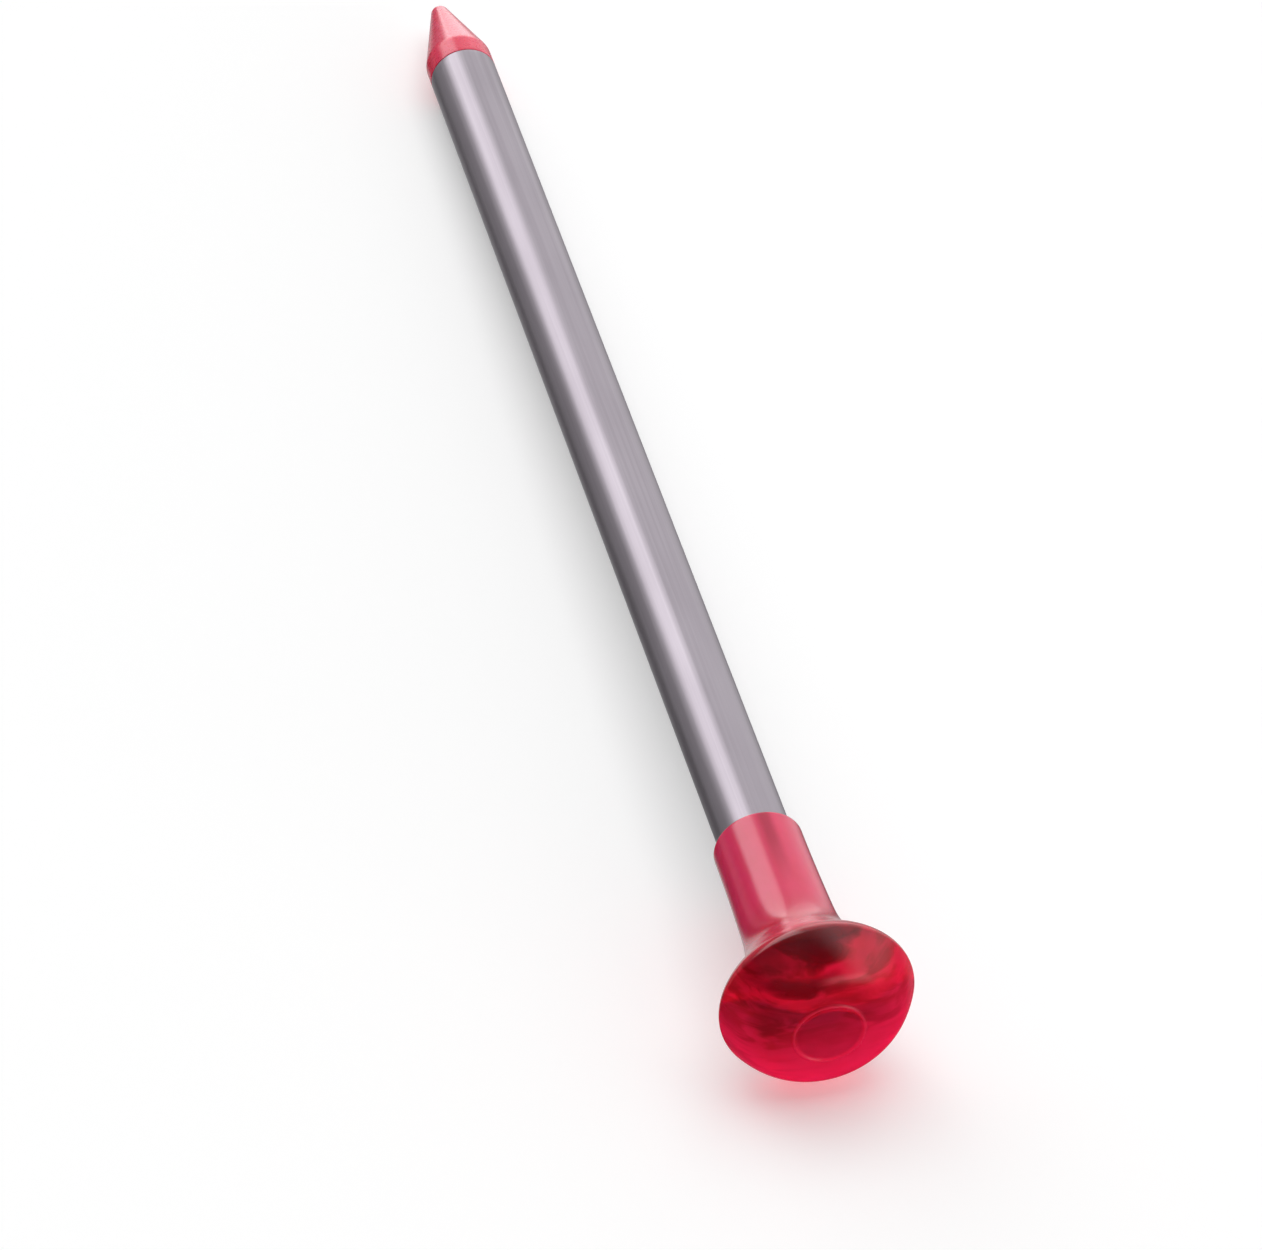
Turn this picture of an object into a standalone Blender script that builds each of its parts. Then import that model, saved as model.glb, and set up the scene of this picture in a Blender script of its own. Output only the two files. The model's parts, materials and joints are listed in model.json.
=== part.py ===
"""Tubular tent stake: an aluminium-jacketed carbon tube with a moulded mushroom
head bonded over one end and a moulded point plugged into the other.

It lies on the surface z = 0 on the rim of its head and on its nose, with the
point towards -X and the head towards +X. Units are metres, +Z is up.
Each piece is drawn along its own axis, from the nose at 0 towards the head,
and the whole is then laid down by the empty called stake_axis.
"""
import math

import bmesh
import bpy
from mathutils import Matrix

for old in list(bpy.data.objects):
    bpy.data.objects.remove(old, do_unlink=True)

MM = 0.001

# ---- overall -----------------------------------------------------------
OVERALL = 152.4 * MM          # nose to the top of the dome
SEGMENTS = 48                 # facets round every piece; all pieces share them

# ---- shaft -------------------------------------------------------------
JACKET_R = 3.34 * MM          # outer radius of the aluminium jacket
JACKET_WALL = 0.32 * MM
JACKET_START = 11.70 * MM     # first edge of the jacket, behind the point
JACKET_END = 141.00 * MM      # last edge, inside the head
EDGE_BREAK = 0.10 * MM        # small chamfer on cut tube ends
CORE_GAP = 0.05 * MM          # jacket to core
CORE_WALL = 0.75 * MM
CORE_START = 11.95 * MM
CORE_END = 140.75 * MM

# ---- point -------------------------------------------------------------
NOSE_R = 0.94 * MM            # rounded nose
CONE_LEN = 9.32 * MM          # nose to the end of the cone
BAND_END = 11.65 * MM         # end of the short cylinder that meets the jacket
SPIGOT_R = 1.93 * MM          # plug inside the core
SPIGOT_END = 20.00 * MM
SPIGOT_CHAMFER = 0.45 * MM
TIP_BOND_INNER = 1.98 * MM
TIP_BOND_OUTER = 2.17 * MM
TIP_BOND_START = 12.00 * MM
TIP_BOND_END = 19.30 * MM

# ---- head --------------------------------------------------------------
COLLAR_START = 128.06 * MM    # open end of the socket
LIP_R = 3.78 * MM             # outer radius of the flat end of the collar
LIP_ROUND = 0.34 * MM         # rounding from the flat end to the collar
COLLAR_R = 4.06 * MM          # collar just behind the rounding
NECK_R = 4.20 * MM            # neck where the flare begins
FLARE_START = 137.00 * MM
RIM_R = 8.66 * MM             # widest point of the flange
RIM_AT = 148.10 * MM
FLARE_LATE = 3.4              # how late the flare opens
FLARE_FULL = 1.9              # how fully it rounds over into the rim
RIM_EDGE = 0.50 * MM          # rounding where the dome begins, at the widest point
DOME_POWER = 5.0              # how flat the top of the dome is
PAD_R = 2.95 * MM             # flat pad at the top, inside the raised ring
RING_W = 0.42 * MM            # width of the raised ring round the pad
RING_H = 0.14 * MM
SOCKET_R = 3.57 * MM
SOCKET_END = 141.30 * MM
HEAD_BOND_INNER = 3.39 * MM
HEAD_BOND_OUTER = 3.52 * MM
HEAD_BOND_START = 128.75 * MM
HEAD_BOND_END = 140.80 * MM
CORD_HOLE_R = 1.50 * MM       # straight through the neck, across the axis
CORD_HOLE_AT = 144.20 * MM

CORE_R = JACKET_R - JACKET_WALL - CORE_GAP


def tip_profile():
    """Outline of the moulded point, from the nose to the inner end of its plug."""
    half = math.asin((JACKET_R - NOSE_R) / (CONE_LEN - NOSE_R))
    for _ in range(40):
        # straight side from the nose circle to the end of the cone
        s0 = NOSE_R * (1 - math.sin(half))
        r0 = NOSE_R * math.cos(half)
        half = math.atan2(JACKET_R - r0, CONE_LEN - s0)
    pts = []
    steps = 6
    for i in range(steps + 1):
        a = (math.pi / 2 - half) * i / steps
        pts.append((NOSE_R * (1 - math.cos(a)), NOSE_R * math.sin(a)))
    for i in range(1, 4):
        t = i / 4
        pts.append((s0 + (CONE_LEN - s0) * t, r0 + (JACKET_R - r0) * t))
    pts.append((CONE_LEN, JACKET_R))
    pts.append((BAND_END, JACKET_R))
    pts.append((BAND_END, SPIGOT_R))
    pts.append((SPIGOT_END - SPIGOT_CHAMFER, SPIGOT_R))
    pts.append((SPIGOT_END, SPIGOT_R - SPIGOT_CHAMFER))
    pts.append((SPIGOT_END, 0.0))
    return pts


def flare_radius(s):
    """Outer radius of the head between its collar and its rim."""
    if s <= FLARE_START:
        t = (s - COLLAR_START) / (FLARE_START - COLLAR_START)
        return COLLAR_R + (NECK_R - COLLAR_R) * t * t
    t = (s - FLARE_START) / (RIM_AT - FLARE_START)
    grow = 1 - (1 - t ** FLARE_LATE) ** FLARE_FULL if t < 1 else 1.0
    slope = 2 * (NECK_R - COLLAR_R) / (FLARE_START - COLLAR_START)
    lead = slope * (s - FLARE_START) * (1 - t)
    return NECK_R + lead + (RIM_R - NECK_R) * grow


def head_profile():
    """Closed outline of the head: socket floor, socket, collar, flare, rim, dome."""
    pts = [(SOCKET_END, 0.0), (SOCKET_END, SOCKET_R), (COLLAR_START, SOCKET_R), (COLLAR_START, LIP_R)]
    for i in range(1, 4):
        a = math.pi / 2 * i / 3
        pts.append((COLLAR_START + LIP_ROUND * (1 - math.cos(a)),
                    LIP_R + (COLLAR_R - LIP_R) * math.sin(a)))
    for i in range(1, 3):
        s = COLLAR_START + LIP_ROUND + (FLARE_START - COLLAR_START - LIP_ROUND) * i / 2
        pts.append((s, flare_radius(s)))
    for i in range(1, 17):
        s = FLARE_START + (RIM_AT - FLARE_START) * math.sin(math.pi / 2 * i / 16)
        pts.append((s, flare_radius(s)))
    # the widest point, turning over into the dome
    ring_r = PAD_R + RING_W
    top = OVERALL - RING_H
    turn = math.radians(23.5)
    s1, r1 = RIM_AT + RIM_EDGE * math.sin(turn), RIM_R - RIM_EDGE * (1 - math.cos(turn))
    pts.append((RIM_AT + RIM_EDGE * math.sin(turn / 2), RIM_R - RIM_EDGE * (1 - math.cos(turn / 2))))
    pts.append((s1, r1))
    # dome
    for i in range(1, 15):
        r = r1 + (ring_r - r1) * math.sin(math.pi / 2 * i / 14) ** 1.4
        rise = (1 - (r / r1) ** DOME_POWER) / (1 - (ring_r / r1) ** DOME_POWER)
        pts.append((s1 + (top - s1) * rise, r))
    # raised ring and the flat pad inside it
    pts.append((OVERALL, ring_r - RING_W * 0.30))
    pts.append((OVERALL, PAD_R + RING_W * 0.30))
    pts.append((top, PAD_R))
    pts.append((top, 0.0))
    return pts


def tube_profile(start, end, outer, inner, brk):
    """Closed outline of a tube wall with broken outer edges."""
    return [(start, inner), (start, outer - brk), (start + brk, outer),
            (end - brk, outer), (end, outer - brk), (end, inner)]


def lying_angle():
    """Tilt at which the nose and the rim both reach the surface, and the drop."""
    flat = math.cos(math.pi / SEGMENTS)

    def lowest(profile, tilt):
        return min(s * math.sin(tilt) - r * flat * math.cos(tilt) for s, r in profile)

    low, high = 0.0, math.radians(15)
    for _ in range(60):
        mid = (low + high) / 2
        if lowest(head_profile(), mid) < lowest(tip_profile(), mid):
            low = mid
        else:
            high = mid
    return low, lowest(tip_profile(), low)


def material(name, colour, roughness, metallic, transmission=0.0, ior=1.5):
    mat = bpy.data.materials.new(name)
    mat.use_nodes = True
    shader = mat.node_tree.nodes["Principled BSDF"]
    shader.inputs["Base Color"].default_value = (*colour, 1.0)
    shader.inputs["Roughness"].default_value = roughness
    shader.inputs["Metallic"].default_value = metallic
    shader.inputs["Transmission Weight"].default_value = transmission
    shader.inputs["IOR"].default_value = ior
    mat.diffuse_color = (*colour, 1.0)
    return mat


def turned(name, profile, mat, closed):
    """Spin an outline round the stake's axis into one closed body.

    A facet, not an edge, faces down, so that the rim has a flat to rest on."""
    bm = bmesh.new()
    half = math.pi / SEGMENTS
    verts = [bm.verts.new((s, r * math.sin(half), -r * math.cos(half))) for s, r in profile]
    edges = [bm.edges.new(pair) for pair in zip(verts, verts[1:])]
    if closed:
        edges.append(bm.edges.new((verts[-1], verts[0])))
    bmesh.ops.spin(bm, geom=verts + edges, cent=(0, 0, 0), axis=(1, 0, 0),
                   dvec=(0, 0, 0), angle=2 * math.pi, steps=SEGMENTS, use_duplicate=False)
    bmesh.ops.remove_doubles(bm, verts=bm.verts[:], dist=1e-7)
    bmesh.ops.dissolve_degenerate(bm, dist=1e-8, edges=bm.edges[:])
    bmesh.ops.recalc_face_normals(bm, faces=bm.faces[:])
    mesh = bpy.data.meshes.new(name)
    bm.to_mesh(mesh)
    bm.free()
    for poly in mesh.polygons:
        poly.use_smooth = True
    mesh.materials.append(mat)
    ob = bpy.data.objects.new(name, mesh)
    bpy.context.scene.collection.objects.link(ob)
    ob.parent = axis
    return ob


# ---- how it lies -------------------------------------------------------
tilt, drop = lying_angle()
lay = Matrix.Rotation(-tilt, 4, "Y")
xs = [s * math.cos(tilt) + side * r * math.sin(tilt)
      for s, r in tip_profile() + head_profile() for side in (-1, 1)]
axis = bpy.data.objects.new("stake_axis", None)
bpy.context.scene.collection.objects.link(axis)
axis.location = (-(min(xs) + max(xs)) / 2, 0.0, -drop)
axis.rotation_euler = lay.to_euler()

# ---- materials ---------------------------------------------------------
red_head = material("head_plastic", (0.52, 0.012, 0.045), 0.30, 0.0, 0.55, 1.52)
red_tip = material("tip_plastic", (0.72, 0.018, 0.075), 0.26, 0.0, 0.20, 1.52)
satin_alu = material("satin_aluminium", (0.62, 0.59, 0.61), 0.34, 1.0)
carbon = material("carbon_composite", (0.02, 0.02, 0.022), 0.42, 0.0)
adhesive = material("cured_adhesive", (0.48, 0.43, 0.36), 0.40, 0.0, 0.10, 1.5)

# ---- pieces ------------------------------------------------------------
turned("tip", tip_profile(), red_tip, closed=False)

turned("shaft_jacket",
       tube_profile(JACKET_START, JACKET_END, JACKET_R, JACKET_R - JACKET_WALL, EDGE_BREAK),
       satin_alu, closed=True)

turned("shaft_core",
       tube_profile(CORE_START, CORE_END, CORE_R, CORE_R - CORE_WALL, EDGE_BREAK),
       carbon, closed=True)

turned("tip_bond",
       tube_profile(TIP_BOND_START, TIP_BOND_END, TIP_BOND_OUTER, TIP_BOND_INNER, 0.03 * MM),
       adhesive, closed=True)

turned("head_bond",
       tube_profile(HEAD_BOND_START, HEAD_BOND_END, HEAD_BOND_OUTER, HEAD_BOND_INNER, 0.03 * MM),
       adhesive, closed=True)

head = turned("head", head_profile(), red_head, closed=False)

# cord hole straight across the neck, just under the flange
bpy.ops.mesh.primitive_cylinder_add(vertices=32, radius=CORD_HOLE_R, depth=2.4 * RIM_R,
                                    location=(CORD_HOLE_AT, 0, 0), rotation=(math.pi / 2, 0, 0))
drill = bpy.context.active_object
drill.name = "cord_hole_cutter"
drill.hide_render = True
drill.display_type = "WIRE"
drill.parent = axis
cut = head.modifiers.new("cord_hole", "BOOLEAN")
cut.operation = "DIFFERENCE"
cut.object = drill
cut.solver = "EXACT"

bpy.context.view_layer.update()
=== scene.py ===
import json
import math

import bmesh
import bpy
from mathutils import Matrix, Vector


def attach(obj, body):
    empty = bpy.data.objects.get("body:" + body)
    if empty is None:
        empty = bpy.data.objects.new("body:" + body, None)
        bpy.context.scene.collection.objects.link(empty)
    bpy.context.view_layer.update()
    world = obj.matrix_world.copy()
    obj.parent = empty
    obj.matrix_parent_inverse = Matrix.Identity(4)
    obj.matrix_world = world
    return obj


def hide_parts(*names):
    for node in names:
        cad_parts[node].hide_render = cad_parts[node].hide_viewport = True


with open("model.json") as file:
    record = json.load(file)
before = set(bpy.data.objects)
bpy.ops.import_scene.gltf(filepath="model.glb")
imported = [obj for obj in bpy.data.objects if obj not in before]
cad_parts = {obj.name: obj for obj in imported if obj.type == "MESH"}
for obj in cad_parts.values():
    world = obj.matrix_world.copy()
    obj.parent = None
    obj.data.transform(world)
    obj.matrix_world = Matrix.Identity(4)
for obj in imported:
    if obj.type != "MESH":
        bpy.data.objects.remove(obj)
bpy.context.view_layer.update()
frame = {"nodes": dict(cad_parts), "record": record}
scene = bpy.context.scene

MM = 0.001

# ---------------------------------------------------------------------------
# where the stake's own axis lies, from the record's flat pad on top of the head
# ---------------------------------------------------------------------------
OVERALL = 152.4 * MM
RING_H = 0.14 * MM
pad = next(m for m in frame["record"]["mounts"] if m["name"] == "strike_pad")
AX = Vector(pad["axis"]).normalized()
SIDE = Vector((0, 1, 0))
UPP = AX.cross(SIDE).normalized()
NOSE = Vector(pad["pos_m"]) - AX * (OVERALL - RING_H)
LAY = Matrix((
    (AX.x, SIDE.x, UPP.x, NOSE.x),
    (AX.y, SIDE.y, UPP.y, NOSE.y),
    (AX.z, SIDE.z, UPP.z, NOSE.z),
    (0, 0, 0, 1)))

# ---------------------------------------------------------------------------
# camera: the photograph's direction, distance and lens
# ---------------------------------------------------------------------------
CAM_AT = Vector((0.45241574, -0.13212093, 0.42172378))
CAM_AIM = Vector((0.02011238, -0.00358997, 0.006))
CAM_ROLL = math.radians(4.0796)
cam_data = bpy.data.cameras.new("camera")
cam = bpy.data.objects.new("camera", cam_data)
scene.collection.objects.link(cam)
look = (CAM_AIM - CAM_AT).normalized()
level = look.cross(Vector((0, 0, 1))).normalized()
above = level.cross(look)
right = level * math.cos(CAM_ROLL) + above * math.sin(CAM_ROLL)
top = right.cross(look)
cam.matrix_world = Matrix((
    (right.x, top.x, -look.x, CAM_AT.x),
    (right.y, top.y, -look.y, CAM_AT.y),
    (right.z, top.z, -look.z, CAM_AT.z),
    (0, 0, 0, 1)))
cam_data.sensor_fit = "HORIZONTAL"
cam_data.sensor_width = 36.0
cam_data.lens = 191.795
cam_data.clip_start = 0.01
cam_data.clip_end = 50.0
scene.camera = cam

# ---------------------------------------------------------------------------
# the stake's sizes, as in the CAD
# ---------------------------------------------------------------------------
JACKET_R, JACKET_WALL = 3.34 * MM, 0.32 * MM
JACKET_START, JACKET_END = 11.70 * MM, 141.00 * MM
NOSE_R, CONE_LEN, BAND_END = 0.94 * MM, 9.32 * MM, 11.65 * MM
SPIGOT_R, SPIGOT_END, SPIGOT_CHAMFER = 1.93 * MM, 20.0 * MM, 0.45 * MM
COLLAR_START, LIP_R, LIP_ROUND = 128.06 * MM, 3.78 * MM, 0.34 * MM
COLLAR_R, NECK_R, FLARE_START = 4.06 * MM, 4.20 * MM, 137.0 * MM
RIM_R, RIM_AT, FLARE_LATE, FLARE_FULL = 8.66 * MM, 148.10 * MM, 3.4, 1.9
RIM_EDGE, DOME_POWER = 0.50 * MM, 5.0
RIM_TURN = math.radians(23.5)
DOME_START = RIM_AT + RIM_EDGE * math.sin(RIM_TURN)
DOME_START_R = RIM_R - RIM_EDGE * (1 - math.cos(RIM_TURN))
PAD_R, RING_W = 2.95 * MM, 0.42 * MM
SOCKET_R, SOCKET_END = 3.57 * MM, 141.30 * MM
CORD_HOLE_R, CORD_HOLE_AT = 1.50 * MM, 144.20 * MM
HOLE_ROUND = 0.34 * MM


def flare_radius(s):
    if s <= FLARE_START:
        t = (s - COLLAR_START) / (FLARE_START - COLLAR_START)
        return COLLAR_R + (NECK_R - COLLAR_R) * t * t
    t = (s - FLARE_START) / (RIM_AT - FLARE_START)
    grow = 1 - (1 - t ** FLARE_LATE) ** FLARE_FULL if t < 1 else 1.0
    slope = 2 * (NECK_R - COLLAR_R) / (FLARE_START - COLLAR_START)
    return NECK_R + slope * (s - FLARE_START) * (1 - t) + (RIM_R - NECK_R) * grow


def dome_height(r):
    """Where the dome's surface is at radius r from the axis."""
    s1, r1 = DOME_START, DOME_START_R
    ring_r = PAD_R + RING_W
    rise = (1 - (min(r, r1) / r1) ** DOME_POWER) / (1 - (ring_r / r1) ** DOME_POWER)
    return s1 + (OVERALL - RING_H - s1) * rise


def arc(cs, cr, rad, a0, a1, n, rad_r=None):
    """n + 1 points round a quarter or so of a circle in the outline's plane."""
    rad_r = rad if rad_r is None else rad_r
    return [(cs + rad * math.cos(a0 + (a1 - a0) * i / n),
             cr + rad_r * math.sin(a0 + (a1 - a0) * i / n)) for i in range(n + 1)]


def head_outline():
    pts = [(SOCKET_END, 0.0)]
    for i in range(1, 7):
        pts.append((SOCKET_END, (SOCKET_R - 0.3 * MM) * i / 6))
    pts += arc(SOCKET_END - 0.3 * MM, SOCKET_R - 0.3 * MM, 0.3 * MM, 0.0, math.pi / 2, 4)[1:]
    n = 40
    mouth = COLLAR_START + 0.10 * MM
    for i in range(1, n + 1):
        pts.append((SOCKET_END - 0.3 * MM + (mouth - SOCKET_END + 0.3 * MM) * i / n, SOCKET_R))
    pts += arc(mouth, SOCKET_R + 0.05 * MM, 0.10 * MM, -math.pi / 2, -math.pi, 3, 0.05 * MM)[1:]
    pts.append((COLLAR_START, LIP_R))
    for i in range(1, 9):
        a = math.pi / 2 * i / 8
        pts.append((COLLAR_START + LIP_ROUND * (1 - math.cos(a)),
                    LIP_R + (flare_radius(COLLAR_START + LIP_ROUND) - LIP_R) * math.sin(a)))
    s = COLLAR_START + LIP_ROUND
    while s < RIM_AT - 0.001 * MM:
        step = 0.35 * MM if s < 140.5 * MM else 0.15 * MM
        if s > 147.2 * MM:
            step = 0.075 * MM
        s = s + step if s + 1.5 * step < RIM_AT else RIM_AT
        pts.append((s, flare_radius(s)))
    # the widest point, turning over into the dome
    for i in range(1, 9):
        a = RIM_TURN * i / 8
        pts.append((RIM_AT + RIM_EDGE * math.sin(a), RIM_R - RIM_EDGE * (1 - math.cos(a))))
    r0 = pts[-1][1]
    ring_out = PAD_R + RING_W
    n = 90
    for i in range(1, n + 1):
        r = r0 + (ring_out - r0) * (i / n) ** 1.5
        pts.append((dome_height(r), r))
    # raised ring with soft shoulders, then the flat pad
    w, n = RING_W, 12
    for i in range(1, n + 1):
        t = i / n
        pts.append((OVERALL - RING_H + RING_H * math.sin(math.pi * t) ** 1.2, ring_out - w * t))
    for i in range(1, 9):
        pts.append((OVERALL - RING_H, PAD_R * (1 - i / 8)))
    return pts


def tip_outline():
    half = 0.28
    for _ in range(40):
        s0 = NOSE_R * (1 - math.sin(half))
        r0 = NOSE_R * math.cos(half)
        half = math.atan2(JACKET_R - r0, CONE_LEN - s0)
    pts = []
    n = 16
    for i in range(n + 1):
        a = (math.pi / 2 - half) * i / n
        pts.append((NOSE_R * (1 - math.cos(a)), NOSE_R * math.sin(a)))
    n = 40
    soft = 0.30 * MM
    for i in range(1, n):
        t = i / n
        s = s0 + (CONE_LEN - s0) * t
        if CONE_LEN - s > soft:
            pts.append((s, r0 + (JACKET_R - r0) * t))
    # softened shoulder from cone to band
    a0 = (CONE_LEN - soft, JACKET_R - soft * math.tan(half))
    a1, a2 = (CONE_LEN, JACKET_R), (CONE_LEN + soft, JACKET_R)
    for i in range(0, 9):
        t = i / 8
        pts.append(tuple((1 - t) ** 2 * p + 2 * t * (1 - t) * q + t * t * e for p, q, e in zip(a0, a1, a2)))
    for i in range(1, 7):
        pts.append((CONE_LEN + soft + (BAND_END - 0.06 * MM - CONE_LEN - soft) * i / 6, JACKET_R))
    pts += arc(BAND_END - 0.06 * MM, JACKET_R - 0.06 * MM, 0.06 * MM, math.pi / 2, 0.0, 3)[1:]
    for i in range(1, 4):
        pts.append((BAND_END, JACKET_R - 0.06 * MM + (SPIGOT_R - JACKET_R + 0.06 * MM) * i / 3))
    for i in range(1, 13):
        pts.append((BAND_END + (SPIGOT_END - SPIGOT_CHAMFER - BAND_END) * i / 12, SPIGOT_R))
    pts.append((SPIGOT_END, SPIGOT_R - SPIGOT_CHAMFER))
    pts.append((SPIGOT_END, 0.0))
    return pts


def jacket_outline():
    """Closed outline of the jacket's wall, with rolled-over edges at the cuts."""
    e, ro, ri = 0.09 * MM, JACKET_R, JACKET_R - JACKET_WALL
    pts = arc(JACKET_START + e, ro - e, e, math.pi, math.pi / 2, 4)
    n = 220
    for i in range(1, n):
        pts.append((JACKET_START + e + (JACKET_END - JACKET_START - 2 * e) * i / n, ro))
    pts += arc(JACKET_END - e, ro - e, e, math.pi / 2, 0.0, 4)
    pts += [(JACKET_END, ri)]
    for i in range(1, 40):
        pts.append((JACKET_END + (JACKET_START - JACKET_END) * i / 40, ri))
    pts += [(JACKET_START, ri)]
    return pts


def turned(name, outline, segments, closed=False, crease=40):
    """A mesh spun from an outline about the stake's axis, in the frame's own coordinates."""
    bm = bmesh.new()
    rings = []
    for s, r in outline:
        if r < 1e-9:
            rings.append([bm.verts.new((s, 0, 0))])
        else:
            rings.append([bm.verts.new((s, r * math.sin(a), -r * math.cos(a)))
                          for a in (2 * math.pi * (k + 0.5) / segments for k in range(segments))])
    pairs = list(zip(rings, rings[1:]))
    if closed:
        pairs.append((rings[-1], rings[0]))
    for a, b in pairs:
        for k in range(segments):
            j = (k + 1) % segments
            ring = [a[k % len(a)], a[j % len(a)], b[j % len(b)], b[k % len(b)]]
            corner = []
            for v in ring:
                if v not in corner:
                    corner.append(v)
            if len(corner) > 2:
                bm.faces.new(corner)
    bmesh.ops.recalc_face_normals(bm, faces=bm.faces[:])
    mesh = bpy.data.meshes.new(name)
    bm.to_mesh(mesh)
    bm.free()
    mesh.transform(LAY)
    mesh.shade_smooth()
    if crease:
        mesh.set_sharp_from_angle(angle=math.radians(crease))
    ob = bpy.data.objects.new(name, mesh)
    scene.collection.objects.link(ob)
    return ob


# ---------------------------------------------------------------------------
# the head: turned, drilled, then the hole's edges rounded over
# ---------------------------------------------------------------------------
def drill_head(head):
    """Cuts the cord hole and rolls its sharp edges onto a rounded surface."""
    bm = bmesh.new()
    n, rings, half = 96, 120, 1.06 * RIM_R
    layers = [[bm.verts.new((CORD_HOLE_AT + CORD_HOLE_R * math.cos(2 * math.pi * k / n),
                             -half + 2 * half * j / rings,
                             CORD_HOLE_R * math.sin(2 * math.pi * k / n)))
               for k in range(n)] for j in range(rings + 1)]
    for a, b in zip(layers, layers[1:]):
        for k in range(n):
            bm.faces.new((a[k], a[(k + 1) % n], b[(k + 1) % n], b[k]))
    bm.faces.new(layers[0])
    bm.faces.new(list(reversed(layers[-1])))
    bmesh.ops.recalc_face_normals(bm, faces=bm.faces[:])
    mesh = bpy.data.meshes.new("drill")
    bm.to_mesh(mesh)
    bm.free()
    mesh.transform(LAY)
    drill = bpy.data.objects.new("drill", mesh)
    scene.collection.objects.link(drill)
    cut = head.modifiers.new("cut", "BOOLEAN")
    cut.operation, cut.solver, cut.object = "DIFFERENCE", "EXACT", drill
    bpy.context.view_layer.update()
    made = bpy.data.meshes.new_from_object(head.evaluated_get(bpy.context.evaluated_depsgraph_get()))
    head.modifiers.clear()
    head.data = made
    bpy.data.objects.remove(drill, do_unlink=True)

    back = LAY.inverted()
    bm = bmesh.new()
    bm.from_mesh(made)
    for v in bm.verts:
        v.co = back @ v.co

    def outside(p):
        """How far a point is outside the turned head, near its flare, and how far inside the hole."""
        r = math.hypot(p.y, p.z)
        h = 0.02 * MM
        slope = (flare_radius(p.x + h) - flare_radius(p.x - h)) / (2 * h)
        return (r - flare_radius(p.x)) / math.sqrt(1 + slope * slope), \
            CORD_HOLE_R - math.hypot(p.x - CORD_HOLE_AT, p.z)

    def near(p, reach):
        if abs(p.x - CORD_HOLE_AT) > CORD_HOLE_R + 3 * reach or p.x > RIM_AT - 0.2 * MM:
            return False
        a, b = outside(p)
        return abs(a) < reach and abs(b) < reach

    bmesh.ops.triangulate(bm, faces=[f for f in bm.faces if len(f.verts) > 3 and near(f.calc_center_median(), 4 * HOLE_ROUND)])
    for _ in range(2):
        edges = [e for e in bm.edges if e.calc_length() > 0.075 * MM and near((e.verts[0].co + e.verts[1].co) / 2, 1.5 * HOLE_ROUND)]
        bmesh.ops.subdivide_edges(bm, edges=edges, cuts=1, use_grid_fill=False)
        bmesh.ops.triangulate(bm, faces=[f for f in bm.faces if len(f.verts) > 3 and near(f.calc_center_median(), 4 * HOLE_ROUND)])

    k = HOLE_ROUND * 1.6

    def blended(p):
        a, b = outside(p)
        return max(a, b) + max(k - abs(a - b), 0.0) ** 2 / (4 * k)

    for v in bm.verts:
        p = v.co.copy()
        if not near(p, 1.8 * HOLE_ROUND):
            continue
        for _ in range(6):
            f = blended(p)
            h = 0.004 * MM
            g = Vector(((blended(p + Vector((h, 0, 0))) - f) / h,
                        (blended(p + Vector((0, h, 0))) - f) / h,
                        (blended(p + Vector((0, 0, h))) - f) / h))
            p -= g * (f / max(g.length_squared, 0.05))
        v.co = p
    bmesh.ops.remove_doubles(bm, verts=bm.verts[:], dist=0.004 * MM)
    bmesh.ops.dissolve_degenerate(bm, dist=0.002 * MM, edges=bm.edges[:])
    bmesh.ops.recalc_face_normals(bm, faces=bm.faces[:])
    for v in bm.verts:
        v.co = LAY @ v.co
    bm.to_mesh(made)
    bm.free()
    made.validate()
    made.shade_smooth()
    made.set_sharp_from_angle(angle=math.radians(50))


head = turned("moulded_head", head_outline(), 256)
drill_head(head)
tip = turned("moulded_point", tip_outline(), 192)
jacket = turned("drawn_jacket", jacket_outline(), 192, closed=True)

# ---------------------------------------------------------------------------
# materials
# ---------------------------------------------------------------------------
INV = LAY.inverted()


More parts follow.
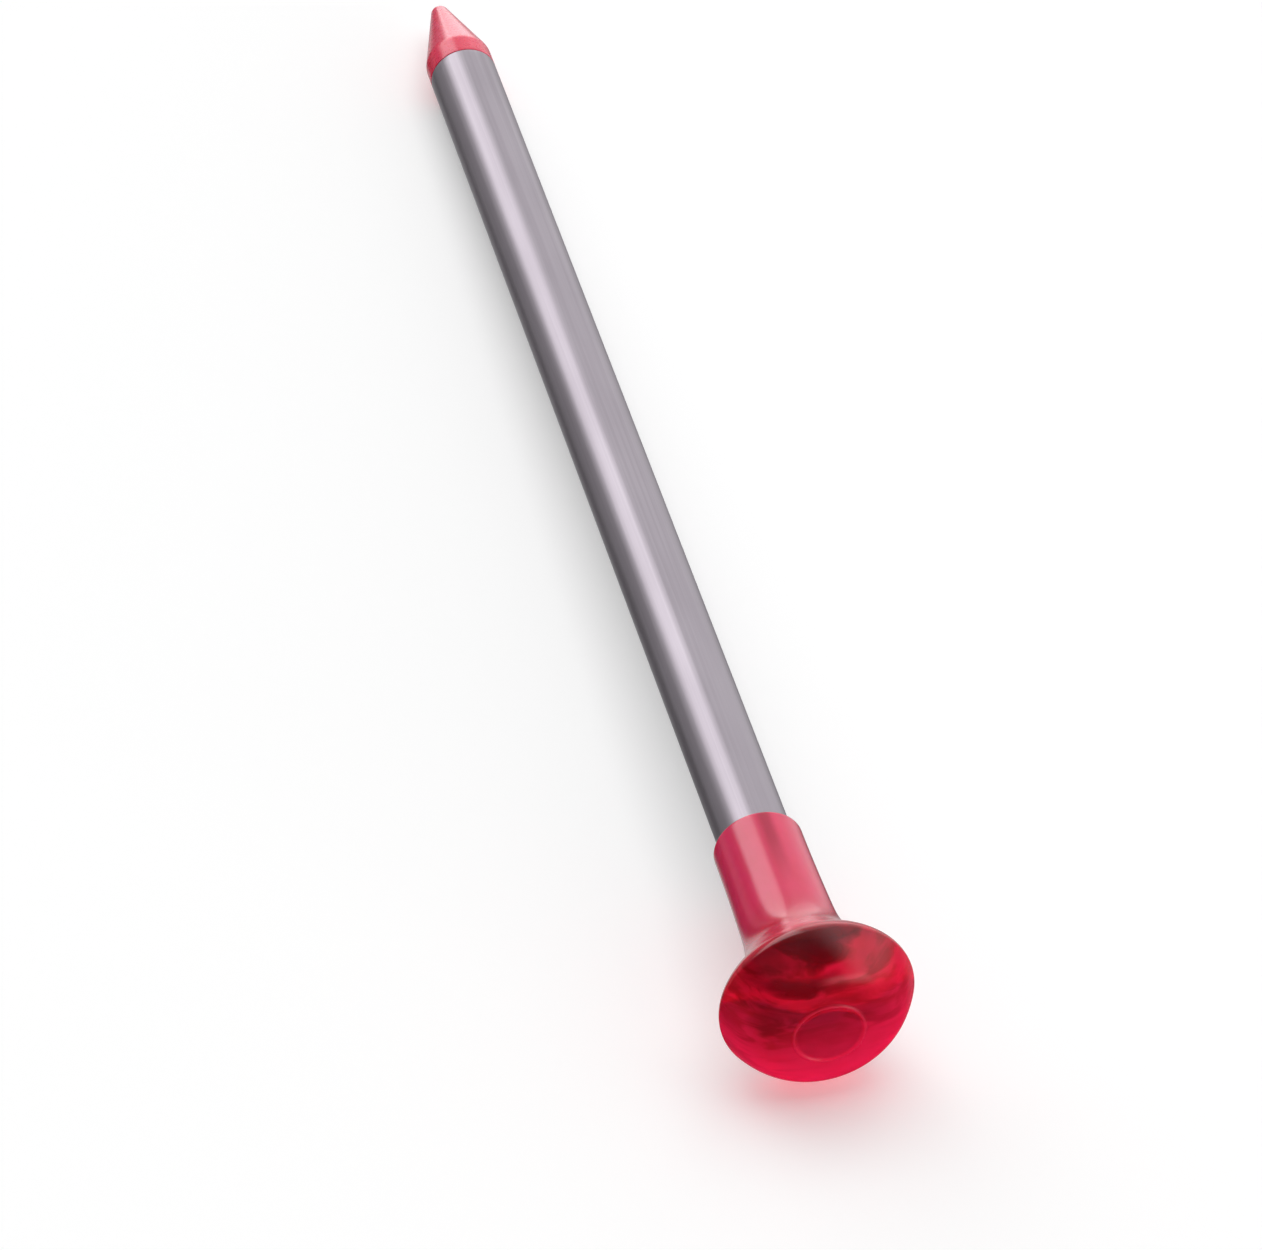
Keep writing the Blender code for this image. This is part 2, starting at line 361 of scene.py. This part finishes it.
class Nodes:
    """Short names for building a material out of nodes, in millimetres along the stake's axis."""

    def __init__(self, name):
        self.mat = bpy.data.materials.new(name)
        self.mat.use_nodes = True
        self.tree = self.mat.node_tree
        self.tree.nodes.clear()
        self.out = self.add("ShaderNodeOutputMaterial")
        self.bsdf = self.add("ShaderNodeBsdfPrincipled")
        self.link(self.bsdf.outputs[0], self.out.inputs["Surface"])
        coord = self.add("ShaderNodeTexCoord")
        place = self.add("ShaderNodeMapping")
        place.vector_type = "POINT"
        place.inputs["Location"].default_value = INV.to_translation() * 1000
        place.inputs["Rotation"].default_value = INV.to_euler()
        place.inputs["Scale"].default_value = (1000, 1000, 1000)
        self.link(coord.outputs["Object"], place.inputs["Vector"])
        self.mm = place.outputs["Vector"]

    def add(self, kind, **settings):
        node = self.tree.nodes.new(kind)
        for key, value in settings.items():
            setattr(node, key, value)
        return node

    def link(self, a, b):
        self.tree.links.new(a, b)

    def scaled(self, sx, sy, sz, vector=None):
        m = self.add("ShaderNodeMapping")
        m.inputs["Scale"].default_value = (sx, sy, sz)
        self.link(vector or self.mm, m.inputs["Vector"])
        return m.outputs["Vector"]

    def noise(self, vector, scale, detail=3.0, rough=0.55, distort=0.0):
        n = self.add("ShaderNodeTexNoise")
        n.inputs["Scale"].default_value = scale
        n.inputs["Detail"].default_value = detail
        n.inputs["Roughness"].default_value = rough
        n.inputs["Distortion"].default_value = distort
        self.link(vector, n.inputs["Vector"])
        return n.outputs["Fac"]

    def remap(self, value, a0, a1, b0, b1, smooth=False):
        m = self.add("ShaderNodeMapRange")
        if smooth:
            m.interpolation_type = "SMOOTHSTEP"
        for key, v in zip(("From Min", "From Max", "To Min", "To Max"), (a0, a1, b0, b1)):
            m.inputs[key].default_value = v
        self.link(value, m.inputs["Value"])
        return m.outputs["Result"]

    def math(self, op, a, b=None):
        m = self.add("ShaderNodeMath", operation=op)
        for sock, v in zip(m.inputs, (a, b)):
            if v is None:
                continue
            if isinstance(v, (int, float)):
                sock.default_value = v
            else:
                self.link(v, sock)
        return m.outputs[0]

    def split(self, vector=None):
        n = self.add("ShaderNodeSeparateXYZ")
        self.link(vector or self.mm, n.inputs[0])
        return n.outputs

    def ramp(self, value, stops):
        n = self.add("ShaderNodeValToRGB")
        el = n.color_ramp.elements
        while len(el) < len(stops):
            el.new(0.5)
        for e, (pos, colour) in zip(el, stops):
            e.position = pos
            e.color = (*colour, 1.0)
        self.link(value, n.inputs["Fac"])
        return n.outputs["Color"]

    def mix(self, fac, a, b, blend="MIX"):
        n = self.add("ShaderNodeMix", data_type="RGBA", blend_type=blend)
        for sock, v in ((n.inputs[0], fac), (n.inputs[6], a), (n.inputs[7], b)):
            if isinstance(v, tuple):
                sock.default_value = (*v, 1.0)
            elif isinstance(v, (int, float)):
                sock.default_value = v
            else:
                self.link(v, sock)
        return n.outputs[2]

    def bump(self, height, distance, strength=1.0, normal=None):
        n = self.add("ShaderNodeBump")
        n.inputs["Strength"].default_value = strength
        n.inputs["Distance"].default_value = distance
        self.link(height, n.inputs["Height"])
        if normal is not None:
            self.link(normal, n.inputs["Normal"])
        return n.outputs["Normal"]

    def set(self, **values):
        for key, v in values.items():
            sock = self.bsdf.inputs[key.replace("_", " ")]
            if isinstance(v, (int, float)):
                sock.default_value = v
            elif isinstance(v, tuple):
                sock.default_value = (*v, 1.0) if len(v) == 3 and sock.type == "RGBA" else v
            else:
                self.link(v, sock)


def head_plastic():
    m = Nodes("head_plastic")
    x, y, z = m.split()
    flow = m.noise(m.scaled(0.10, 0.45, 0.45), 1.0, 3.0, 0.5, 0.4)
    cloud = m.noise(m.mm, 0.55, 2.0, 0.5)
    tone = m.math("ADD", m.math("MULTIPLY", flow, 0.6), m.math("MULTIPLY", cloud, 0.4))
    # the neck is satin, the dome is polished by the mould
    along = m.remap(x, 146.0, 148.6, 0.0, 1.0, smooth=True)
    satin = m.ramp(tone, [(0.30, (0.78, 0.003, 0.086)), (0.55, (0.84, 0.005, 0.104)), (0.80, (0.90, 0.009, 0.130))])

    # painted shade: dark patches over the dome, wobbled sideways by noise, standing in for the shade seen through the
    # plastic and the dark reflections on it
    wobble_noise = m.noise(m.scaled(0.2, 0.22, 0.75), 1.0, 3.0, 0.55, 0.8)
    wob = m.math("MULTIPLY", m.math("SUBTRACT", wobble_noise, 0.5), 2.2)
    wander = m.noise(m.scaled(0.3, 0.4, 0.4), 1.0, 2.0, 0.5)
    wob2 = m.math("MULTIPLY", m.math("SUBTRACT", wander, 0.5), 3.0)
    yy = m.math("ADD", y, wob2)
    zz = m.math("ADD", z, wob)

    def shade_patch(y0, z0, half_y, half_z, slope, soft=0.45):
        dy = m.math("SUBTRACT", yy, y0)
        dz = m.math("SUBTRACT", m.math("SUBTRACT", zz, z0), m.math("MULTIPLY", dy, slope))
        a = m.math("POWER", m.math("ABSOLUTE", m.math("DIVIDE", dy, half_y)), 2.0)
        b = m.math("POWER", m.math("ABSOLUTE", m.math("DIVIDE", dz, half_z)), 2.0)
        return m.remap(m.math("ADD", a, b), 1.0 + soft, max(0.0, 1.0 - 1.8 * soft), 0.0, 1.0, smooth=True)

    shade_patches = [(shade_patch(-1.4, 8.3, 4.6, 1.5, 0.08, 0.9), 0.95), (shade_patch(-3.2, 5.1, 3.4, 0.85, 0.12, 1.2), 0.90),
             (shade_patch(-5.0, 6.4, 2.8, 1.2, 0.3, 1.2), 0.80), (shade_patch(-5.2, 1.7, 1.4, 1.3, 0.2, 1.2), 0.45),
             (shade_patch(4.0, 1.8, 2.2, 1.0, -0.3, 1.2), 0.30), (shade_patch(0.0, 3.6, 5.5, 0.6, 0.05, 1.2), 0.35),
             (shade_patch(4.2, 6.8, 2.8, 1.3, -0.2, 1.2), 0.28), (shade_patch(-5.8, 3.9, 2.2, 0.9, 0.1, 1.2), 0.42)]
    painted_shade = None
    for fac, weight in shade_patches:
        part = m.math("MULTIPLY", fac, weight)
        painted_shade = part if painted_shade is None else m.math("MAXIMUM", painted_shade, part)
    painted_shade = m.math("MULTIPLY", painted_shade, along)
    # painted light: a mask for the side that faces the pale ground, which gets painted glow, while the upper side stays
    # deep
    lean = m.math("ADD", m.math("MULTIPLY", zz, -0.94), m.math("MULTIPLY", yy, 0.35))
    painted_glow_side = m.remap(lean, -3.0, 5.5, 0.0, 1.0, smooth=True)
    # painted shade: dark streaks across the dome, fainter on the side given painted glow
    streak = m.math("MULTIPLY", m.remap(wobble_noise, 0.40, 0.62, 0.0, 0.75, smooth=True), m.remap(painted_glow_side, 0.0, 0.8, 1.0, 0.15))
    clear_tint = m.ramp(tone, [(0.30, (0.92, 0.014, 0.080)), (0.55, (0.98, 0.018, 0.100)), (0.80, (1.0, 0.024, 0.130))])
    clear_tint = m.mix(streak, clear_tint, (0.42, 0.004, 0.016))
    # painted shade: the dome is darkened to near black under the patches above
    clear_tint = m.mix(painted_shade, clear_tint, (0.035, 0.004, 0.008))
    # painted shade: the pad inside the raised ring is painted deeper; the ring's crest gets a painted highlight further
    # down
    out = m.math("SQRT", m.math("ADD", m.math("MULTIPLY", y, y), m.math("MULTIPLY", z, z)))
    painted_pad_shade = m.math("MULTIPLY", m.remap(out, PAD_R * 1000 + 0.10, PAD_R * 1000 - 0.25, 0.0, 0.45, smooth=True),
                   m.remap(wander, 0.35, 0.65, 0.6, 1.0))
    clear_tint = m.mix(painted_pad_shade, clear_tint, (0.36, 0.008, 0.050))
    # painted shade: over the thick middle of the head the colour is painted deeper; towards the thin edge there is
    # painted glow
    painted_middle_shade = m.math("MULTIPLY", m.remap(out, 7.4, 3.6, 0.0, 0.42, smooth=True), m.remap(wobble_noise, 0.35, 0.65, 1.0, 0.6))
    clear_tint = m.mix(m.math("MULTIPLY", painted_middle_shade, along), clear_tint, (0.40, 0.010, 0.040))
    # painted light: a mask for the lower part of the rim, which gets painted glow below
    edge = m.math("MULTIPLY", m.remap(out, 5.4, 8.2, 0.0, 1.0, smooth=True), m.remap(z, 3.0, -1.0, 0.0, 1.0, smooth=True))
    # painted highlight: a pale pink line along the raised ring, brighter towards its top
    painted_ring_highlight = m.remap(m.math("ABSOLUTE", m.math("SUBTRACT", out, (PAD_R + RING_W / 2) * 1000)), 0.20, 0.04, 0.0, 1.0, smooth=True)
    painted_ring_highlight = m.math("MULTIPLY", painted_ring_highlight, m.remap(z, -2.0, 2.4, 0.20, 0.70, smooth=True))
    clear_tint = m.mix(painted_ring_highlight, clear_tint, (1.0, 0.05, 0.13))
    # painted shade: a darker stripe along the top of the neck, below the collar, standing in for a dark band of
    # reflection; the coat is thinned there as well
    painted_neck_stripe = m.math("MULTIPLY", m.remap(m.math("ABSOLUTE", m.math("SUBTRACT", y, 0.15)), 1.0, 0.15, 0.0, 1.0, smooth=True),
                   m.remap(x, 139.0, 130.0, 0.0, 1.0, smooth=True))
    painted_neck_stripe = m.math("MULTIPLY", painted_neck_stripe, m.remap(z, 0.0, 1.0, 0.0, 1.0))
    satin = m.mix(m.math("MULTIPLY", painted_neck_stripe, 0.75), satin, (0.42, 0.002, 0.040))
    # the flange is thinner than the neck, deeper in colour and lets more light through
    flange = m.remap(x, 137.5, 144.5, 0.0, 1.0, smooth=True)
    satin = m.mix(m.math("MULTIPLY", flange, m.remap(wander, 0.35, 0.65, 0.55, 0.95)), satin, (0.80, 0.006, 0.060))
    colour = m.mix(along, satin, clear_tint)
    # painted light: the walls of the cord hole are painted bright red and given painted glow
    bore_x = m.math("SUBTRACT", x, CORD_HOLE_AT * 1000)
    bore = m.math("SQRT", m.math("ADD", m.math("MULTIPLY", bore_x, bore_x), m.math("MULTIPLY", z, z)))
    bore = m.remap(bore, CORD_HOLE_R * 1000 + 0.12, CORD_HOLE_R * 1000 - 0.02, 0.0, 1.0, smooth=True)
    colour = m.mix(m.math("MULTIPLY", bore, 0.85), colour, (0.95, 0.010, 0.018))

    fine = m.noise(m.mm, 3.5, 3.0, 0.6)
    rough = m.math("ADD", m.remap(along, 0.0, 1.0, 0.22, 0.13), m.remap(fine, 0.3, 0.7, -0.015, 0.02))
    peel = m.noise(m.mm, 1.6, 2.0, 0.5)
    grain = m.noise(m.mm, 6.0, 2.0, 0.6)
    height = m.math("ADD", m.math("MULTIPLY", peel, 0.7), m.math("MULTIPLY", grain, m.remap(along, 0.0, 1.0, 0.05, 0.015)))
    normal = m.bump(height, 0.02 * MM, 0.5)
    clear = m.math("ADD", 0.06, m.math("ADD", m.math("MULTIPLY", along, 0.14), m.math("MULTIPLY", flange, 0.30)))
    # painted light: emission on the dome's side facing the pale ground, along its lower rim and in the cord hole, less
    # over the painted shade
    painted_glow = m.math("MULTIPLY", m.math("MULTIPLY", painted_glow_side, along), m.remap(wobble_noise, 0.3, 0.7, 0.36, 0.24))
    painted_glow = m.math("MULTIPLY", painted_glow, m.math("SUBTRACT", 1.0, m.math("ADD", painted_pad_shade, m.math("MULTIPLY", painted_middle_shade, 0.6))))
    painted_glow = m.math("ADD", painted_glow, m.math("MULTIPLY", m.math("MULTIPLY", edge, along), 0.16))
    painted_glow = m.math("ADD", painted_glow, m.math("MULTIPLY", bore, 0.16))
    m.set(Base_Color=colour, Roughness=rough, Normal=normal, Transmission_Weight=clear, IOR=1.50,
          Specular_IOR_Level=0.9, Coat_Weight=m.math("MULTIPLY", m.remap(along, 0.0, 1.0, 0.8, 0.1), m.remap(painted_neck_stripe, 0.0, 1.0, 1.0, 0.05)),
          Coat_Roughness=0.14, Coat_IOR=1.6, Subsurface_Weight=0.45,
          Subsurface_Scale=0.0008, Subsurface_Radius=(1.0, 0.2, 0.3),
          Emission_Color=(1.0, 0.016, 0.105),
          Emission_Strength=painted_glow)
    absorb = m.add("ShaderNodeVolumeAbsorption")
    absorb.inputs["Color"].default_value = (1.0, 0.10, 0.30, 1.0)
    absorb.inputs["Density"].default_value = 90.0
    m.link(absorb.outputs[0], m.out.inputs["Volume"])
    return m.mat


def tip_plastic():
    m = Nodes("tip_plastic")
    flow = m.noise(m.scaled(0.35, 1.2, 1.2), 1.0, 3.0, 0.5, 0.6)
    colour = m.ramp(flow, [(0.25, (0.86, 0.006, 0.066)), (0.55, (0.92, 0.010, 0.085)), (0.80, (0.97, 0.018, 0.115))])
    fine = m.noise(m.mm, 2.6, 2.0, 0.5)
    # painted sheen: the cone is painted paler pink, the band behind it keeps its colour
    x, y, z = m.split()
    painted_cone_sheen = m.math("MULTIPLY", m.remap(x, 9.6, 8.4, 0.0, 1.0, smooth=True), m.remap(flow, 0.3, 0.7, 0.16, 0.28))
    colour = m.mix(painted_cone_sheen, colour, (0.86, 0.16, 0.26))
    rough = m.remap(fine, 0.3, 0.7, 0.26, 0.30)
    peel = m.noise(m.mm, 1.1, 2.0, 0.5)
    height = m.math("ADD", peel, m.math("MULTIPLY", fine, 0.03))
    normal = m.bump(height, 0.008 * MM, 0.4)
    m.set(Base_Color=colour, Roughness=rough, Normal=normal, Transmission_Weight=0.06, IOR=1.50,
          Specular_IOR_Level=1.0, Coat_Weight=0.8, Coat_Roughness=0.20, Coat_IOR=1.6, Subsurface_Weight=0.35,
          Subsurface_Scale=0.0012, Subsurface_Radius=(1.0, 0.2, 0.25))
    return m.mat


def satin_aluminium():
    m = Nodes("satin_aluminium")
    streak = m.noise(m.scaled(0.030, 7.0, 7.0), 1.0, 4.0, 0.65)
    hair = m.noise(m.scaled(0.10, 22.0, 22.0), 1.0, 2.0, 0.6)
    cloud = m.noise(m.scaled(0.08, 0.3, 0.3), 1.0, 2.0, 0.5)
    band = m.noise(m.scaled(0.012, 1.5, 1.5), 1.0, 2.0, 0.6)
    tone = m.math("ADD", m.math("MULTIPLY", streak, 0.35), m.math("MULTIPLY", cloud, 0.25))
    tone = m.math("ADD", tone, m.math("MULTIPLY", band, 0.40))
    colour = m.ramp(tone, [(0.34, (0.440, 0.392, 0.442)), (0.52, (0.508, 0.458, 0.512)), (0.68, (0.572, 0.520, 0.574))])
    rough = m.math("ADD", m.remap(streak, 0.3, 0.7, 0.29, 0.35), m.remap(hair, 0.3, 0.7, -0.015, 0.02))
    height = m.math("ADD", m.math("MULTIPLY", streak, 0.6), m.math("MULTIPLY", hair, 0.4))
    height = m.math("ADD", height, m.math("MULTIPLY", band, 2.2))
    normal = m.bump(height, 0.008 * MM, 0.6)
    m.set(Base_Color=colour, Roughness=rough, Normal=normal, Metallic=0.86)
    return m.mat


def carbon_composite():
    m = Nodes("carbon_composite")
    tow = m.noise(m.scaled(0.05, 5.0, 5.0), 1.0, 3.0, 0.6)
    colour = m.ramp(tow, [(0.3, (0.012, 0.012, 0.014)), (0.7, (0.035, 0.035, 0.038))])
    rough = m.remap(tow, 0.3, 0.7, 0.35, 0.5)
    m.set(Base_Color=colour, Roughness=rough, Normal=m.bump(tow, 0.02 * MM, 0.6))
    return m.mat


def cured_adhesive():
    # painted shade: the adhesive's colour is drawn near black so that the narrow gap at the collar's mouth reads as a
    # shadow line
    m = Nodes("cured_adhesive")
    blob = m.noise(m.mm, 1.1, 3.0, 0.55)
    colour = m.ramp(blob, [(0.3, (0.035, 0.030, 0.030)), (0.7, (0.070, 0.062, 0.060))])
    rough = m.remap(blob, 0.3, 0.7, 0.30, 0.45)
    m.set(Base_Color=colour, Roughness=rough, Normal=m.bump(blob, 0.03 * MM, 0.6))
    return m.mat


def dress(ob, mat):
    ob.data.materials.clear()
    ob.data.materials.append(mat)


dress(head, head_plastic())
dress(tip, tip_plastic())
dress(jacket, satin_aluminium())
glue = cured_adhesive()
for node, mat in (("shaft_core", carbon_composite()), ("head_bond", glue), ("tip_bond", glue)):
    ob = frame["nodes"][node]
    if not ob.material_slots:
        ob.data.materials.append(mat)
    for slot in ob.material_slots:
        slot.material = mat

for piece, node, slot in ((head, "head", "head_plastic"), (tip, "tip", "tip_plastic"),
                          (jacket, "shaft_jacket", "satin_aluminium")):
    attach(piece, "root")
    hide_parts(node)

# ---------------------------------------------------------------------------
# stage: pale floor, plain backdrop, soft light
# ---------------------------------------------------------------------------
def plain(name, colour, emission=None):
    mat = bpy.data.materials.new(name)
    mat.use_nodes = True
    b = mat.node_tree.nodes["Principled BSDF"]
    b.inputs["Base Color"].default_value = (*colour, 1)
    b.inputs["Roughness"].default_value = 0.9
    b.inputs["Specular IOR Level"].default_value = 0.1
    if emission is not None:
        b.inputs["Emission Color"].default_value = (*colour, 1)
        b.inputs["Emission Strength"].default_value = emission
    return mat


bpy.ops.mesh.primitive_circle_add(vertices=128, radius=6.0, fill_type="NGON", location=(0, 0, -0.00004))
floor = bpy.context.active_object
floor.name = "floor"
pale = plain("floor_pale", (0.80, 0.80, 0.80), 0.34)
# far from the stake the floor brightens until it meets the backdrop without a line
ft = pale.node_tree
fco = ft.nodes.new("ShaderNodeTexCoord")
flen = ft.nodes.new("ShaderNodeVectorMath")
flen.operation = "LENGTH"
fmap = ft.nodes.new("ShaderNodeMapRange")
fmap.interpolation_type = "SMOOTHSTEP"
for key, v in (("From Min", 0.35), ("From Max", 2.4), ("To Min", 0.34), ("To Max", 0.74)):
    fmap.inputs[key].default_value = v
ft.links.new(fco.outputs["Object"], flen.inputs[0])
ft.links.new(flen.outputs["Value"], fmap.inputs["Value"])
ft.links.new(fmap.outputs["Result"], ft.nodes["Principled BSDF"].inputs["Emission Strength"])
dress(floor, pale)
floor.visible_glossy = False

bpy.ops.mesh.primitive_uv_sphere_add(segments=96, ring_count=48, radius=6.0, location=(0, 0, 0))
backdrop = bpy.context.active_object
backdrop.name = "backdrop"
dress(backdrop, plain("backdrop_pale", (0.0, 0.0, 0.0)))
b = backdrop.data.materials[0].node_tree.nodes["Principled BSDF"]
b.inputs["Emission Color"].default_value = (0.95, 0.95, 0.95, 1)
b.inputs["Emission Strength"].default_value = 1.0
for flag in ("visible_diffuse", "visible_glossy", "visible_transmission", "visible_volume_scatter", "visible_shadow"):
    setattr(backdrop, flag, False)

world = bpy.data.worlds.new("studio")
scene.world = world
world.use_nodes = True
wt = world.node_tree
wt.nodes.clear()


def wnode(kind, **settings):
    node = wt.nodes.new(kind)
    for key, value in settings.items():
        setattr(node, key, value)
    return node


def wlink(a, b):
    wt.links.new(a, b)


# a light tent of long strips that run beside the stake: brightness by the angle round
# the world's X axis, in degrees from straight up towards -Y
STRIPS = [(-180, 0.05), (-142, 0.10), (-124, 0.42), (-106, 0.74), (-70, 0.70), (-45, 0.68), (-24, 0.74), (-10, 0.62), (3, 0.54),
          (12, 1.56), (58, 1.60), (67, 0.24), (88, 0.14), (97, 0.23), (113, 0.23), (122, 0.06), (150, 0.04), (180, 0.05)]
PEAK = 2.0
wco = wnode("ShaderNodeTexCoord")
wxyz = wnode("ShaderNodeSeparateXYZ")
wlink(wco.outputs["Generated"], wxyz.inputs[0])
wneg = wnode("ShaderNodeMath", operation="MULTIPLY")
wneg.inputs[1].default_value = -1.0
wlink(wxyz.outputs["Y"], wneg.inputs[0])
wang = wnode("ShaderNodeMath", operation="ARCTAN2")
wlink(wneg.outputs[0], wang.inputs[0])
wlink(wxyz.outputs["Z"], wang.inputs[1])
wmap = wnode("ShaderNodeMapRange")
for key, v in (("From Min", -math.pi), ("From Max", math.pi), ("To Min", 0.0), ("To Max", 1.0)):
    wmap.inputs[key].default_value = v
wlink(wang.outputs[0], wmap.inputs["Value"])
wramp = wnode("ShaderNodeValToRGB")
wramp.color_ramp.interpolation = "LINEAR"
el = wramp.color_ramp.elements
while len(el) < len(STRIPS):
    el.new(0.5)
for e, (angle, level) in zip(el, STRIPS):
    e.position = (angle + 180) / 360
    v = level / PEAK
    e.color = (v, v, v, 1)
wlink(wmap.outputs["Result"], wramp.inputs["Fac"])
# a black flag hangs in front of the head's dome
wdot = wnode("ShaderNodeVectorMath", operation="DOT_PRODUCT")
wdot.inputs[1].default_value = Vector((0.70, -0.52, 0.48)).normalized()
wlink(wco.outputs["Generated"], wdot.inputs[0])
wdim = wnode("ShaderNodeMapRange", interpolation_type="SMOOTHSTEP")
for key, v in (("From Min", 0.22), ("From Max", 0.66), ("To Min", 1.0), ("To Max", 0.03)):
    wdim.inputs[key].default_value = v
wlink(wdot.outputs["Value"], wdim.inputs["Value"])
# nothing bright stands low on the head's side
wlowz = wnode("ShaderNodeMapRange", interpolation_type="SMOOTHSTEP")
for key, v in (("From Min", -0.20), ("From Max", 0.30), ("To Min", 1.0), ("To Max", 0.0)):
    wlowz.inputs[key].default_value = v
wlink(wxyz.outputs["Z"], wlowz.inputs["Value"])
wlowx = wnode("ShaderNodeMapRange", interpolation_type="SMOOTHSTEP")
for key, v in (("From Min", -0.75), ("From Max", -0.15), ("To Min", 0.0), ("To Max", 0.95)):
    wlowx.inputs[key].default_value = v
wlink(wxyz.outputs["X"], wlowx.inputs["Value"])
wlow = wnode("ShaderNodeMath", operation="MULTIPLY")
wlink(wlowz.outputs["Result"], wlow.inputs[0])
wlink(wlowx.outputs["Result"], wlow.inputs[1])
wkeep = wnode("ShaderNodeMath", operation="SUBTRACT")
wkeep.inputs[0].default_value = 1.0
wlink(wlow.outputs[0], wkeep.inputs[1])
wboth = wnode("ShaderNodeMath", operation="MULTIPLY")
wlink(wkeep.outputs[0], wboth.inputs[0])
wlink(wdim.outputs["Result"], wboth.inputs[1])
wmul = wnode("ShaderNodeMath", operation="MULTIPLY")
wmul.inputs[1].default_value = PEAK
wlink(wboth.outputs[0], wmul.inputs[0])
wlevel = wnode("ShaderNodeVectorMath", operation="SCALE")
wlink(wramp.outputs["Color"], wlevel.inputs[0])
wlink(wmul.outputs[0], wlevel.inputs["Scale"])
# a round softbox low beyond the point
wend = wnode("ShaderNodeVectorMath", operation="DOT_PRODUCT")
wend.inputs[1].default_value = Vector((-0.96, 0.22, 0.05)).normalized()
wlink(wco.outputs["Generated"], wend.inputs[0])
wendmap = wnode("ShaderNodeMapRange", interpolation_type="SMOOTHSTEP")
for key, v in (("From Min", 0.935), ("From Max", 0.965), ("To Min", 0.0), ("To Max", 0.35)):
    wendmap.inputs[key].default_value = v
wlink(wend.outputs["Value"], wendmap.inputs["Value"])
# white table beyond the stake, which thin edges catch at a glancing angle
wtab = wnode("ShaderNodeVectorMath", operation="DOT_PRODUCT")
wtab.inputs[1].default_value = Vector((-0.84, 0.04, -0.53)).normalized()
wlink(wco.outputs["Generated"], wtab.inputs[0])
wtabmap = wnode("ShaderNodeMapRange", interpolation_type="SMOOTHSTEP")
for key, v in (("From Min", 0.92), ("From Max", 0.975), ("To Min", 0.0), ("To Max", 0.45)):
    wtabmap.inputs[key].default_value = v
wlink(wtab.outputs["Value"], wtabmap.inputs["Value"])
wpatch = wnode("ShaderNodeMath", operation="ADD")
wlink(wendmap.outputs["Result"], wpatch.inputs[0])
wlink(wtabmap.outputs["Result"], wpatch.inputs[1])
wadd = wnode("ShaderNodeVectorMath", operation="ADD")
wlink(wlevel.outputs[0], wadd.inputs[0])
wlink(wpatch.outputs[0], wadd.inputs[1])
wbg = wnode("ShaderNodeBackground")
wlink(wadd.outputs[0], wbg.inputs["Color"])
wout = wnode("ShaderNodeOutputWorld")
wlink(wbg.outputs[0], wout.inputs["Surface"])


def softbox(name, direction, distance, width, height, radiance, along=(1, 0, 0)):
    """A rectangular soft light facing the stake; its width runs along the given direction."""
    data = bpy.data.lights.new(name, "AREA")
    data.shape = "RECTANGLE"
    data.size, data.size_y = width, height
    data.energy = radiance * math.pi * width * height
    ob = bpy.data.objects.new(name, data)
    scene.collection.objects.link(ob)
    d = Vector(direction).normalized()
    x = (Vector(along) - d * Vector(along).dot(d)).normalized()
    y = d.cross(x)
    ob.matrix_world = Matrix(((x.x, y.x, d.x, d.x * distance), (x.y, y.y, d.y, d.y * distance),
                              (x.z, y.z, d.z, d.z * distance), (0, 0, 0, 1)))
    ob.visible_camera = False
    return ob



fill = softbox("overhead_fill", (-0.15, 0.05, 1.0), 1.5, 1.6, 1.6, 1.55)
fill.visible_glossy = False
low = softbox("low_front", (1.0, 0.50, 0.10), 1.5, 1.0, 0.5, 4.0, along=(0, 1, 0))
low.visible_glossy = False
# soft reflectors that only the metal tube picks up, for the sides away from the main strips
reflector = softbox("tube_reflector", (0.66, 0.62, 0.42), 1.6, 1.9, 1.9, 1.0, along=(1, -1, 0))
only_tube = bpy.data.collections.new("lit_by_reflector")
only_tube.objects.link(jacket)
reflector.light_linking.receiver_collection = only_tube
front = softbox("tube_reflector_front", (0.25, -0.70, 0.66), 1.6, 1.9, 0.6, 1.7)
front.light_linking.receiver_collection = only_tube
# a small one low beyond the point, for the pale sheen along the cone
sheen = softbox("point_reflector", (-0.96, 0.22, 0.05), 1.2, 0.7, 0.7, 0.55, along=(0, 1, 0))
only_point = bpy.data.collections.new("lit_by_point_reflector")
only_point.objects.link(tip)
sheen.light_linking.receiver_collection = only_point

scene.view_settings.view_transform = "Standard"
scene.view_settings.look = "None"
